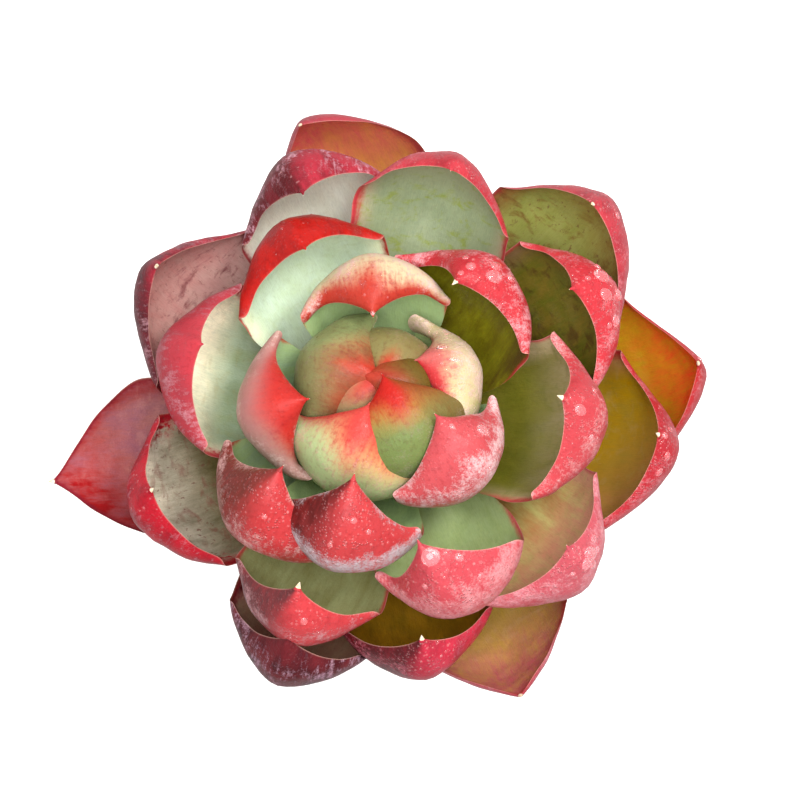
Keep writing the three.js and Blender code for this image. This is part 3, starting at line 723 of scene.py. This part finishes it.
        layers = {
            "blush": blush,
            "frost": outside * frost,
            "warm": warm,
            "glow": inside * glow,
            "filmAndShade": outside * filmAndShade * (1 - ease(hood, end - 0.45, end)),
            # a pale line along the margins, partly its own colour and partly painted light through the thin
            # edge
            "edge": 0.4 * np.exp(-(toMargin / 0.14) ** 2) * ease(s, 0.2, 0.5) * (1 - ease(s, 0.95, 0.99)),
            "specks": look["specks"] * inside * ease(s, 0.3, 0.6),
            "blotch": look["blotch"][1] * inside * ease(s, 0.3, 0.45) * (1 - 0.8 * ease(s, 0.62, 0.85)),
            "wet": outside * look["wet"] * ease(s, 0.3, 0.6),
            "outside": outside,
        }
        for name, values in layers.items():
            layer = piece.data.attributes.new(name, "FLOAT", "POINT")
            layer.data.foreach_set("value", np.clip(values, 0, 1).astype(np.float32))
        patch = np.full_like(s, 7.0 * (self.number - 1)) + 31.0 * outside
        place = np.stack([s * self.length, v * width, patch], axis=1)
        layer = piece.data.attributes.new("place", "FLOAT_VECTOR", "POINT")
        layer.data.foreach_set("vector", place.astype(np.float32).ravel())

    def backPoint(self, hood, v):
        # a point on the back in metres, the way it faces, and the way to the tip; hood runs from
        # 0 at the fold to 1 at the tip
        s = self.fold + hood * (1 - self.fold)
        i = min(int(np.argmin(np.abs(self.s - s))), len(self.s) - 2)
        j = int(np.argmin(np.abs(self.v - v)))
        ahead = Vector(self.outerSide[i + 1, j] - self.outerSide[i - 1, j]).normalized()
        return Vector(self.outerSide[i, j] * mm), Vector(-self.normal[i, j]), ahead


# The point at the end of each leaf, in millimetres; horny is the share of it that is cream.
# Leaves that aren't in the list of sizes have a small one, coloured as the leaf
leafPoint = {
    "sunk": 0.9,
    "radius": 0.78,
    "bend": 0.2,
    "sides": 14,
    "rings": 10,
    "small": 0.3,
    "horny": 0.6,
    "sizes": {11: 0.5, 14: 0.6, 20: 0.6, 23: 0.35, 24: 0.35, 25: 0.45, 26: 0.5, 27: 0.45, 29: 0.35,
              30: 0.4, 31: 0.45, 35: 0.5},
}

skinMaterials = {name: makeSkin(name) for name in skins}
pointSkin = makePointSkin()
leaves = [Leaf(i) for i in range(len(rosette["leaves"]))]
for i, leaf in enumerate(leaves):
    if i >= rosette["tuckedFrom"]:
        for inner in leaves[rosette["tuckedUnder"]:i]:
            leaf.tuck(inner)
    leaf.settle()
    piece = leaf.mesh()
    piece.data.materials.append(skinMaterials[leaf.skin])
    piece.data.materials.append(pointSkin)
    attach(piece, "root")
    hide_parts(leaf.name)
print("leaves:", len(leaves))


# Water on the hoods of the leaves, 0 at the fold and 1 at the tip, in millimetres. Fine dew: number
# of the leaf, how many beads, from and to along the hood, from and to across it. Drops, by number
# of the leaf: along, across, radius, how much longer than wide
water = {
    "beadSmall": 0.1,
    "beadLarge": 0.34,
    "height": 0.62,               # of a drop, as a share of its radius
    "sunk": 0.06,
    "seed": 11,
    "air": (3.0, 2.0),             # free height that dew and drops need over them
    "dew": [
        (6, 66, 0.0, 0.5, 0.3, 0.98), (6, 14, 0.2, 0.7, -0.3, 0.3), (7, 10, 0.3, 0.8, 0.0, 0.6),
        (8, 14, 0.2, 0.8, -0.6, 0.3), (9, 120, 0.0, 0.25, -0.5, 0.98), (9, 14, 0.3, 0.9, -0.3, 0.6),
        (11, 54, 0.0, 0.8, -0.9, 0.6), (12, 72, 0.1, 0.8, -0.3, 0.8), (14, 66, 0.0, 0.9, -0.85, 0.85),
        (15, 72, 0.1, 0.8, -0.3, 0.9), (16, 54, 0.0, 0.9, -0.8, 0.8), (17, 168, 0.0, 0.8, -0.8, 0.9),
        (19, 78, 0.0, 0.9, -0.8, 0.8), (20, 36, 0.1, 0.9, 0.0, 0.8), (21, 30, 0.1, 0.9, -0.7, 0.4),
        (22, 102, 0.0, 0.9, -0.8, 0.95), (23, 24, 0.1, 0.9, -0.6, 0.8), (24, 54, 0.0, 0.9, -0.8, 0.8),
        (25, 54, 0.0, 0.9, -0.4, 0.8), (27, 102, 0.0, 0.9, -0.8, 0.8), (29, 18, 0.0, 0.9, -0.7, 0.7),
        (35, 48, 0.0, 0.9, -0.8, 0.8), (13, 14, 0.1, 0.9, -0.6, 0.6),
    ],
    "drops": {
        11: [(0.7, 0.02, 0.75, 1.1), (0.84, 0.04, 0.5, 1.0), (0.5, -0.28, 1.06, 1.5),
             (0.36, -0.12, 0.81, 1.6), (0.2, -0.32, 0.69, 1.4), (0.55, 0.22, 0.56, 1.0)],
        19: [(0.42, 0.04, 1.25, 1.5), (0.5, -0.25, 1.0, 1.5), (0.2, -0.16, 0.88, 1.4),
             (0.2, -0.45, 0.88, 1.5), (0.3, 0.22, 0.62, 1.0), (0.66, 0.14, 0.5, 1.2),
             (0.35, -0.6, 0.5, 1.2)],
        14: [(0.7, -0.14, 0.81, 1.4), (0.4, 0.28, 0.47, 1.0), (0.3, -0.34, 0.5, 1.1)],
        9: [(0.5, 0.36, 0.81, 1.4), (0.8, 0.06, 0.44, 1.2)],
        17: [(0.78, 0.22, 1.4, 1.0), (0.5, -0.24, 0.53, 1.0), (0.3, 0.5, 0.53, 1.1),
             (0.62, 0.72, 0.62, 1.2)],
        22: [(0.5, 0.3, 1.06, 1.8), (0.5, 0.04, 0.9, 1.2), (0.28, 0.14, 0.75, 1.7), (0.28, 0.38, 0.62, 1.5),
             (0.5, -0.22, 0.5, 1.0), (0.42, 0.56, 0.62, 1.4)],
        27: [(0.75, 0.06, 0.53, 1.2), (0.4, 0.3, 0.53, 1.4), (0.4, -0.3, 0.62, 1.5), (0.3, -0.5, 0.6, 1.3)],
        35: [(0.5, 0.3, 0.5, 1.0)],
        24: [(0.4, -0.3, 0.56, 1.3)],
        8: [(0.97, 0.0, 0.36, 1.1)],
        6: [(0.62, 0.12, 0.43, 2.2), (0.5, -0.1, 0.38, 2.2)],
        20: [(0.5, 0.3, 0.56, 1.3)],
        15: [(0.5, 0.2, 0.45, 1.0)],
        12: [(0.6, 0.16, 0.53, 1.0), (0.5, 0.38, 0.45, 1.0), (0.34, -0.1, 0.43, 1.2)],
    },
}


def makeDew():
    # beads too fine to see through: a faint pale pink over the colour of the skin, a painted highlight,
    # under a clear gloss
    n = Nodes("dew_fine")
    ripples = n.noise(n.coords(), 900)
    n.setShader(Base_Color=n.mix(n.ramp(ripples, 0.35, 0.65), "#f4b8b6", "#ec9c9c"), Alpha=0.16,
                Roughness=n.ramp(ripples, 0.3, 0.7, 0.04, 0.12), Specular_IOR_Level=0.9, IOR=1.4,
                Coat_Weight=1.0, Coat_Roughness=0.03)
    return n.material


def makeWater():
    n = Nodes("dew_water")
    ripples = n.noise(n.coords(), 900)
    # clear water; the pale pink-white share that is not clear is a painted highlight on each drop
    n.setShader(Base_Color=(1.0, 0.92, 0.92, 1), Roughness=n.ramp(ripples, 0.3, 0.7, 0.02, 0.08),
                Normal=n.bump(ripples, 0.08, 0.0001), Transmission_Weight=0.93, IOR=1.33,
                Coat_Weight=1.0, Coat_Roughness=0.02)
    return n.material


def addDome(points, faces, place, radius, stretch, rings, sides):
    # a sessile drop: a low dome with a rounded foot, set slightly into the skin
    center, normal, ahead = place
    forward = (ahead - normal * ahead.dot(normal)).normalized()
    across = normal.cross(forward)
    height = radius * water["height"]
    first = len(points)
    for i in range(rings):
        turn = math.pi / 2 * (i / rings)
        rim = math.cos(turn) ** 0.8
        rise = math.sin(turn) * height - water["sunk"]
        for k in range(sides):
            angle = 2 * math.pi * k / sides
            p = forward * (math.cos(angle) * rim * radius * stretch)
            p = p + across * (math.sin(angle) * rim * radius) + normal * rise
            points.append((center + p * mm)[:])
    points.append((center + normal * ((height - water["sunk"]) * mm))[:])
    points.append((center - normal * (0.2 * mm))[:])
    joinRings(points, faces, first, sides)


def isOpen(leaf, place, room):
    # whether a bead here has free air above it, and isn't inside a neighbour
    center, normal, _ = place
    start = Vector(center) / mm + normal * 0.3
    return all(other is leaf or other.tree.ray_cast(start, normal, room)[0] is None for other in leaves)


def addWater():
    draw = random.Random(water["seed"])
    airOverDew, airOverDrop = water["air"]
    points, faces = [], []
    beads = 0
    for number, count, low, high, left, right in water["dew"]:
        leaf = leaves[number - 1]
        for _ in range(count):
            hood, v = draw.uniform(low, high), draw.uniform(left, right)
            radius = draw.uniform(water["beadSmall"], water["beadLarge"]) * draw.uniform(0.6, 1.0)
            place = leaf.backPoint(hood, v)
            if isOpen(leaf, place, airOverDew):
                addDome(points, faces, place, radius, draw.uniform(1.0, 1.25), 3, 8)
                beads += 1
    dew = addMesh("dew_beads", points, faces)
    points, faces = [], []
    rings, sides = 9, 28
    for number, rows in water["drops"].items():
        leaf = leaves[number - 1]
        for hood, v, radius, stretch in rows:
            place = leaf.backPoint(hood, v)
            if isOpen(leaf, place, airOverDrop):
                addDome(points, faces, place, radius, stretch, rings, sides)
    drops = addMesh("dew_drops", points, faces)
    for piece, material in ((dew, makeDew()), (drops, makeWater())):
        piece.data.materials.append(material)
        piece.visible_shadow = False               # clear water hardly darkens the skin under it
        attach(piece, "root")
    print("water:", beads, "beads and", len(points) // (rings * sides + 2), "drops")


addWater()


# Pot: a thrown clay pot with a rim band and four drain holes, in millimetres
pot = {
    "sides": 144,
    "profile": [(0, 0), (14, 0), (19.2, 0), (20, 0.8), (23.2, 20.4), (26.6, 40), (27.6, 40), (28.2, 40.6),
                (28.4, 45), (28.5, 49.1), (27.6, 50), (26, 50), (24.9, 50), (24, 49.1), (21.2, 27),
                (18, 4.4), (16.8, 3.4), (8, 3.4), (0, 3.4)],
    "drains": 4,
    "drainRadius": 2.2,
    "drainCircle": 9.5,
    "drillDepth": 12.0,
    "drillMiddle": 1.7,
    "throwing": 0.07,
    "clay": "#b4633f",
    "clayPale": "#cd8d68",
    "clayDark": "#8c4429",
    "bloom": "#dccab8",
}


def turnedMesh(name, profile, sides, shift=None):
    # a lathe of a profile, cut into lengths under 1.8 mm; shift moves each point in or out
    rows = [profile[0]]
    for (r0, z0), (r1, z1) in zip(profile[:-1], profile[1:]):
        count = max(1, int(math.hypot(r1 - r0, z1 - z0) / 0.9))
        rows += [(r0 + (r1 - r0) * k / count, z0 + (z1 - z0) * k / count) for k in range(1, count + 1)]
    points, rings = [], []
    for r, z in rows:
        first = len(points)
        if r < 0.01:
            points.append((0.0, 0.0, z * mm))
            rings.append([first] * sides)
            continue
        for k in range(sides):
            angle = 2 * math.pi * k / sides
            out = r + (shift(r, z, angle) if shift else 0.0)
            points.append((out * math.cos(angle) * mm, out * math.sin(angle) * mm, z * mm))
        rings.append(range(first, first + sides))
    faces = []
    for low, high in zip(rings[:-1], rings[1:]):
        for k in range(sides):
            quad = (low[k], low[(k + 1) % sides], high[(k + 1) % sides], high[k])
            quad = tuple(dict.fromkeys(quad))
            if len(quad) > 2:
                faces.append(quad)
    return addMesh(name, points, faces)


def drillDrains(piece):
    radius, circle = pot["drainRadius"] * mm, pot["drainCircle"] * mm
    drills = []
    for i in range(pot["drains"]):
        angle = math.radians(45 + 360 / pot["drains"] * i)
        bm = bmesh.new()
        bmesh.ops.create_cone(bm, cap_ends=True, segments=32, radius1=radius, radius2=radius,
                              depth=pot["drillDepth"] * mm)
        mesh = bpy.data.meshes.new("drill")
        bm.to_mesh(mesh)
        bm.free()
        drill = bpy.data.objects.new("drill", mesh)
        drill.location = (circle * math.cos(angle), circle * math.sin(angle), pot["drillMiddle"] * mm)
        bpy.context.scene.collection.objects.link(drill)
        cut = piece.modifiers.new("drain", "BOOLEAN")
        cut.operation = "DIFFERENCE"
        cut.object = drill
        drills.append(drill)
    bpy.context.view_layer.update()
    drilled = piece.evaluated_get(bpy.context.evaluated_depsgraph_get())
    drilledMesh = bpy.data.meshes.new_from_object(drilled)
    piece.modifiers.clear()
    piece.data = drilledMesh
    for drill in drills:
        bpy.data.objects.remove(drill)


def makeTerracotta():
    n = Nodes("pot_terracotta")
    coords = n.coords()
    up = n.heightIn(coords)
    broad = n.noise(coords, 45, 4.0, 0.6, 0.3)
    turning = n.noise(n.scaled(coords, (6.0, 6.0, 420.0)), 1.0, 3.0, 0.6)
    sand = n.noise(coords, 2600, 3.0, 0.65)
    pores = n.cells(coords, 1500)
    color = n.mix(n.ramp(broad, 0.38, 0.66), pot["clay"], pot["clayPale"])
    color = n.mix(n.ramp(turning, 0.5, 0.7) * 0.3, color, pot["clayDark"])
    color = n.mix(n.ramp(up, 0.0, 0.02, 0.35, 0.0), color, pot["clayDark"])             # darker towards the foot
    chalk = n.ramp(up, 0.03, 0.05) * 0.16 + (broad - 0.5) + (sand - 0.5) * 0.35
    color = n.mix(n.ramp(chalk, 0.1, 0.26, 0.0, 0.65), color, pot["bloom"])
    color = n.mix(n.ramp(sand, 0.56, 0.7) * 0.35, color, "#e2b38f")
    rough = n.bump(n.ramp(pores, 0.1, 0.3), 0.35, 0.00025)
    rough = n.bump(sand, 0.5, 0.0002, rough)
    rough = n.bump(turning, 0.4, 0.0003, rough)
    n.setShader(Base_Color=color, Normal=rough, Roughness=n.ramp(broad, 0.3, 0.7, 0.78, 0.95),
                Specular_IOR_Level=0.3)
    return n.material


def addPot():
    def thrown(r, z, angle):
        # faint rings from the throwing, on the outside only
        if r < 17 or z < 1.0 or z > 48.9:
            return 0.0
        turning = math.sin(z * 3.7 + 0.6 * math.sin(angle))
        turning += 0.6 * math.sin(z * 8.9 + math.sin(2 * angle + 1))
        return -pot["throwing"] * (0.6 + 0.35 * turning)

    piece = turnedMesh("pot_clay", pot["profile"], pot["sides"], thrown)
    drillDrains(piece)
    piece.data.shade_smooth()
    piece.data.set_sharp_from_angle(angle=math.radians(38))
    piece.data.materials.append(makeTerracotta())
    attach(piece, "root")
    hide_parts("pot")
    print("pot:", len(piece.data.polygons), "faces")


addPot()


# Soil: a crumbly mound with loose grit on it, in millimetres
soil = {
    "top": 45.5,
    "mound": 1.2,
    "edge": 23.3,
    "hole": 4.7,
    "highest": 47.4,
    "sides": 144,
    "seed": 5,
    "grains": 620,
    "grainsFrom": 5.6,
    "grainsTo": 22.3,
    "grainSmall": 0.35,
    "grainLarge": 1.25,
    "colors": {
        "pumice": ("#cfc6b4", "#a39a88"),
        "lava": ("#5a3226", "#38201a"),
        "bark": ("#5d3f28", "#33231a"),
    },
}


def soilHeight(x, y):
    r = math.hypot(x, y)
    rise = soil["mound"] * (1 - float(ease(r, 5.0, soil["edge"])))
    p = np.array([x, y, 0.0])
    crumbs = 0.34 * ripple(p, 4.5, 201) + 0.22 * ripple(p, 1.9, 202) + 0.12 * ripple(p, 0.9, 203)
    return soil["top"] + rise - 0.25 + float(crumbs) * float(ease(r, 4.4, 6.0))


def makePottingSoil():
    n = Nodes("potting_soil")
    coords = n.coords()
    lumps = n.noise(coords, 420, 4.0, 0.7)
    crumbs = n.cells(coords, 620)
    fibres = n.noise(n.scaled(coords, (1500.0, 420.0, 900.0)), 1.0, 3.0, 0.6)
    color = n.mix(n.ramp(lumps, 0.36, 0.66), "#2f231b", "#59432f")
    color = n.mix(n.ramp(fibres, 0.6, 0.72, 0.0, 0.6), color, "#8a6b49")
    color = n.mix(n.ramp(crumbs, 0.1, 0.45, 0.45, 0.0), color, "#1c1511")
    shape = n.bump(crumbs, 0.7, 0.0006, n.bump(lumps, 0.9, 0.0009))
    n.setShader(Base_Color=color, Normal=shape, Roughness=n.ramp(lumps, 0.3, 0.7, 0.85, 1.0),
                Specular_IOR_Level=0.2)
    return n.material


def addSoil():
    edge, hole, top = soil["edge"], soil["hole"], soil["top"]
    profile = [(0, 3.7), (14, 3.7), (17.2, 5.9), (edge - 0.3, 43.5), (edge, 44.6)]
    profile += [(edge - (edge - hole) * k / 40, top) for k in range(1, 41)]
    profile += [(hole, 40.0), (0, 40.0)]
    piece = turnedMesh("soil_mound", profile, soil["sides"])
    for corner in piece.data.vertices:
        x, y, z = (c / mm for c in corner.co)
        if z > top - 0.1:
            corner.co.z = min(soilHeight(x, y), soil["highest"]) * mm
        elif z < 5:
            corner.co.z = z * mm + max(0.0, float(ripple(np.array([x, y, 0.0]), 2.5, 204)) * 0.2 * mm)
    piece.data.materials.append(makePottingSoil())
    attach(piece, "root")
    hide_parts("soil")


def makeGrit(kind):
    light, dark = soil["colors"][kind]
    n = Nodes("grit_" + kind)
    coords = n.coords()
    tone = n.noise(coords, 260, 3.0, 0.6)
    grain = n.noise(coords, 2600, 3.0, 0.7)
    holes = n.cells(coords, 2100)
    color = n.mix(n.ramp(tone, 0.35, 0.65), dark, light)
    color = n.mix(n.ramp(holes, 0.08, 0.3, 0.4, 0.0), color, dark)
    shape = n.bump(n.ramp(holes, 0.05, 0.3), 0.5, 0.0002, n.bump(grain, 0.6, 0.0002))
    n.setShader(Base_Color=color, Normal=shape, Roughness=n.ramp(grain, 0.3, 0.7, 0.8, 1.0),
                Specular_IOR_Level=0.25)
    return n.material


def addGrit():
    draw = random.Random(soil["seed"])
    points, faces, kindOf = [], [], []
    for _ in range(soil["grains"]):
        kind = draw.choices((0, 1, 2), (5, 3, 3))[0]
        size = soil["grainSmall"] + (soil["grainLarge"] - soil["grainSmall"]) * draw.random() ** 2.2
        r = math.sqrt(draw.uniform(soil["grainsFrom"] ** 2, soil["grainsTo"] ** 2))
        angle = draw.uniform(0, 2 * math.pi)
        x, y = r * math.cos(angle), r * math.sin(angle)
        bm = bmesh.new()
        bmesh.ops.create_icosphere(bm, subdivisions=2, radius=1.0)
        wide = (draw.uniform(0.7, 1.3), draw.uniform(0.6, 1.1),
                draw.uniform(0.45, 0.8) if kind < 2 else 0.28)      # chips of bark are flat
        ways = [Vector([draw.gauss(0, 1) for _ in range(3)]).normalized() for _ in range(7)]
        cuts = [draw.uniform(0.62, 0.95) for _ in ways]
        turn = Matrix.Rotation(draw.uniform(0, 6.28), 3, "Z")
        turn = turn @ Matrix.Rotation(draw.uniform(-0.4, 0.4), 3, "X")
        first = len(points)
        ground = soilHeight(x, y) + size * wide[2] * 0.35
        for corner in bm.verts:
            p = corner.co.copy()
            # each cut flattens one side of the grain
            for way, cut in zip(ways, cuts):
                over = p.dot(way) - cut
                if over > 0:
                    p -= way * over * 0.9
            p = turn @ Vector((p.x * wide[0], p.y * wide[1], p.z * wide[2])) * size
            points.append(((x + p.x) * mm, (y + p.y) * mm, (ground + p.z) * mm))
        for face in bm.faces:
            faces.append(tuple(first + corner.index for corner in face.verts))
            kindOf.append(kind)
        bm.free()
    piece = addMesh("soil_grit", points, faces)
    piece.data.polygons.foreach_set("material_index", np.array(kindOf, dtype=np.int32))
    piece.data.set_sharp_from_angle(angle=math.radians(40))
    for kind in soil["colors"]:
        piece.data.materials.append(makeGrit(kind))
    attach(piece, "root")
    print("soil:", soil["grains"], "grains of grit")


addSoil()
addGrit()


# Stem: short and woody, ringed with the scars of shed leaves, in millimetres
stem = {
    "foot": 31.8,
    "footRadius": 2.6,
    "radius": 4.6,
    "neck": 0.6,                   # how much slimmer it is where it enters the soil
    "collar": 45.5,
    "top": 75.0,
    "sides": 96,
    "rings": 150,
    "scars": 60,
    "scarStart": 44.0,
    "scarStep": 0.55,
    "scarDepth": 0.3,
    "scarTurn": 137.5,
}


def stemRadius(z):
    foot, radius, collar = stem["foot"], stem["radius"], stem["collar"]
    if z < foot + 5.0:
        return stem["footRadius"] + (radius - stem["neck"] - stem["footRadius"]) * (z - foot) / 5.0
    if z < collar:
        return radius - stem["neck"] * (collar - z) / (collar - foot - 5.0)
    return radius - 0.5 * float(ease(z, collar, 56.0)) - 2.3 * float(ease(z, 60.0, stem["top"]))


def scarAt(angle, z):
    # 1 in the middle of a leaf scar and 0 between them
    scar = 0.0
    for m in range(stem["scars"]):
        rise = z - (stem["scarStart"] + stem["scarStep"] * m)
        if abs(rise) > 1.2:
            continue
        swing = (angle - math.radians(stem["scarTurn"]) * m + math.pi) % (2 * math.pi) - math.pi
        bowed = rise - 0.25 * swing * swing
        scar = max(scar, math.exp(-(bowed / 0.34) ** 2) * math.exp(-(swing / 0.75) ** 4))
    return scar


def makeBark():
    n = Nodes("stem_bark")
    coords = n.coords()
    tone = n.noise(coords, 240, 4.0, 0.6)
    cracks = n.noise(n.scaled(coords, (1300.0, 1300.0, 260.0)), 1.0, 3.0, 0.6)
    color = n.mix(n.ramp(tone, 0.36, 0.66), "#7d6a45", "#a08a5c")
    color = n.mix(n.ramp(cracks, 0.5, 0.68, 0.0, 0.6), color, "#4f3d2a")
    color = n.mix(n.attribute("scar") * 0.65, color, "#c3a97c")
    shape = n.bump(tone, 0.4, 0.0004, n.bump(cracks, 0.6, 0.0003))
    n.setShader(Base_Color=color, Normal=shape, Roughness=n.ramp(tone, 0.3, 0.7, 0.65, 0.85),
                Specular_IOR_Level=0.35)
    return n.material


def addStem():
    points, marks, faces = [], [], []
    sides, rings = stem["sides"], stem["rings"]
    for i in range(rings + 1):
        z = stem["foot"] + (stem["top"] - stem["foot"]) * i / rings
        for k in range(sides):
            angle = 2 * math.pi * k / sides
            scar = scarAt(angle, z)
            p = np.array([3 * math.cos(angle), 3 * math.sin(angle), z])
            r = stemRadius(z) - stem["scarDepth"] * (0.5 - 0.75 * scar) + 0.07 * float(ripple(p, 2.4, 301))
            r = min(r, stemRadius(z) + 0.1)
            points.append((r * math.cos(angle) * mm, r * math.sin(angle) * mm, z * mm))
            marks.append(scar)
    points.append((0, 0, (stem["top"] + 0.4) * mm))
    points.append((0, 0, stem["foot"] * mm))
    marks += [0.0, 0.0]
    joinRings(points, faces, 0, sides)
    piece = addMesh("stem_bark", points, faces)
    scars = piece.data.attributes.new("scar", "FLOAT", "POINT")
    scars.data.foreach_set("value", np.array(marks, dtype=np.float32))
    piece.data.materials.append(makeBark())
    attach(piece, "root")
    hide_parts("stem")
    print("stem:", stem["scars"], "leaf scars")


addStem()


# Camera, light and floor, in millimetres and degrees; the lights in metres and watts
studio = {
    "aim": (0.0, 0.0, 88.5),
    "elevation": 75.0,
    "distance": 450.0,
    "aside": (2.175, -2.175),      # right and up, so the middle of the rosette sits off centre
    "pixel": 0.145,                # millimetres in one pixel where the camera aims
    "frame": 794,                  # pixels along one side of the picture
    "sensor": 36.0,
    "key": {"azimuth": 20, "elevation": 60, "distance": 0.9, "size": 0.28, "power": 4.8,
            "color": (1.0, 0.98, 0.95)},
    "top": {"azimuth": 265, "elevation": 74, "distance": 1.2, "size": 1.0, "power": 14.0,
            "color": (0.97, 0.98, 1.0)},
    "litHeight": 0.07,             # the lights point at this height over the floor
    "surround": 1.0,               # brightness of the room overhead
    "fromBelow": 0.6,              # and towards the floor
}


def directionAt(azimuth, elevation):
    flat = math.cos(math.radians(elevation))
    return Vector((flat * math.cos(math.radians(azimuth)), flat * math.sin(math.radians(azimuth)),
                   math.sin(math.radians(elevation))))


def addCamera():
    elevation = math.radians(studio["elevation"])
    back = Vector((0, -math.cos(elevation), math.sin(elevation)))
    upward = Vector((0, math.sin(elevation), math.cos(elevation)))
    right, up = studio["aside"]
    camera = bpy.data.objects.new("camera", bpy.data.cameras.new("camera"))
    bpy.context.scene.collection.objects.link(camera)
    camera.location = (Vector(studio["aim"]) + back * studio["distance"] + Vector((1, 0, 0)) * right
                       + upward * up) * mm
    camera.rotation_euler = (math.radians(90 - studio["elevation"]), 0, 0)
    camera.data.sensor_width = studio["sensor"]
    camera.data.lens = studio["sensor"] * studio["distance"] / (studio["pixel"] * studio["frame"])
    camera.data.clip_start = 0.01
    camera.data.clip_end = 20.0
    bpy.context.scene.camera = camera
    print("studio: camera at", [round(c, 4) for c in camera.location])


def addLight(name, azimuth, elevation, distance, size, power, color):
    light = bpy.data.objects.new(name, bpy.data.lights.new(name, "AREA"))
    light.data.shape = "DISK"
    light.data.size = size
    light.data.energy = power
    light.data.color = color
    way = directionAt(azimuth, elevation)
    light.location = Vector((0, 0, studio["litHeight"])) + way * distance
    light.rotation_euler = way.to_track_quat("Z", "Y").to_euler()
    bpy.context.scene.collection.objects.link(light)


def addRoom():
    # plain white surroundings, brightest overhead and dim towards the floor
    world = bpy.data.worlds.new("studio")
    bpy.context.scene.world = world
    world.use_nodes = True
    room = world.node_tree
    kinds = ("TexCoord", "SeparateXYZ", "MapRange")
    way, parts, rise = (room.nodes.new("ShaderNode" + kind) for kind in kinds)
    rise.inputs["From Min"].default_value = -0.1
    rise.inputs["From Max"].default_value = 0.6
    rise.inputs["To Min"].default_value = studio["fromBelow"]
    rise.inputs["To Max"].default_value = studio["surround"]
    background = room.nodes["Background"]
    background.inputs["Color"].default_value = (1, 1, 1, 1)
    room.links.new(way.outputs["Generated"], parts.inputs[0])
    room.links.new(parts.outputs["Z"], rise.inputs["Value"])
    room.links.new(rise.outputs["Result"], background.inputs["Strength"])
    bpy.context.scene.view_settings.view_transform = "Standard"


def addFloor():
    n = Nodes("floor_white")
    n.setShader(Base_Color=(0.85, 0.85, 0.84, 1), Roughness=0.9, Emission_Color=(1, 1, 1, 1),
                Emission_Strength=0.3)
    floor = addMesh("floor", [(-3, -3, 0), (3, -3, 0), (3, 3, 0), (-3, 3, 0)], [(0, 1, 2, 3)])
    floor.location.z = -0.0002
    # its light stays off the leaves, so their outer edges darken as in front of a far backdrop
    floor.visible_diffuse = False
    floor.visible_glossy = False
    floor.data.materials.append(n.material)


addCamera()
addLight("keyLight", **studio["key"])
addLight("topLight", **studio["top"])
addRoom()
addFloor()
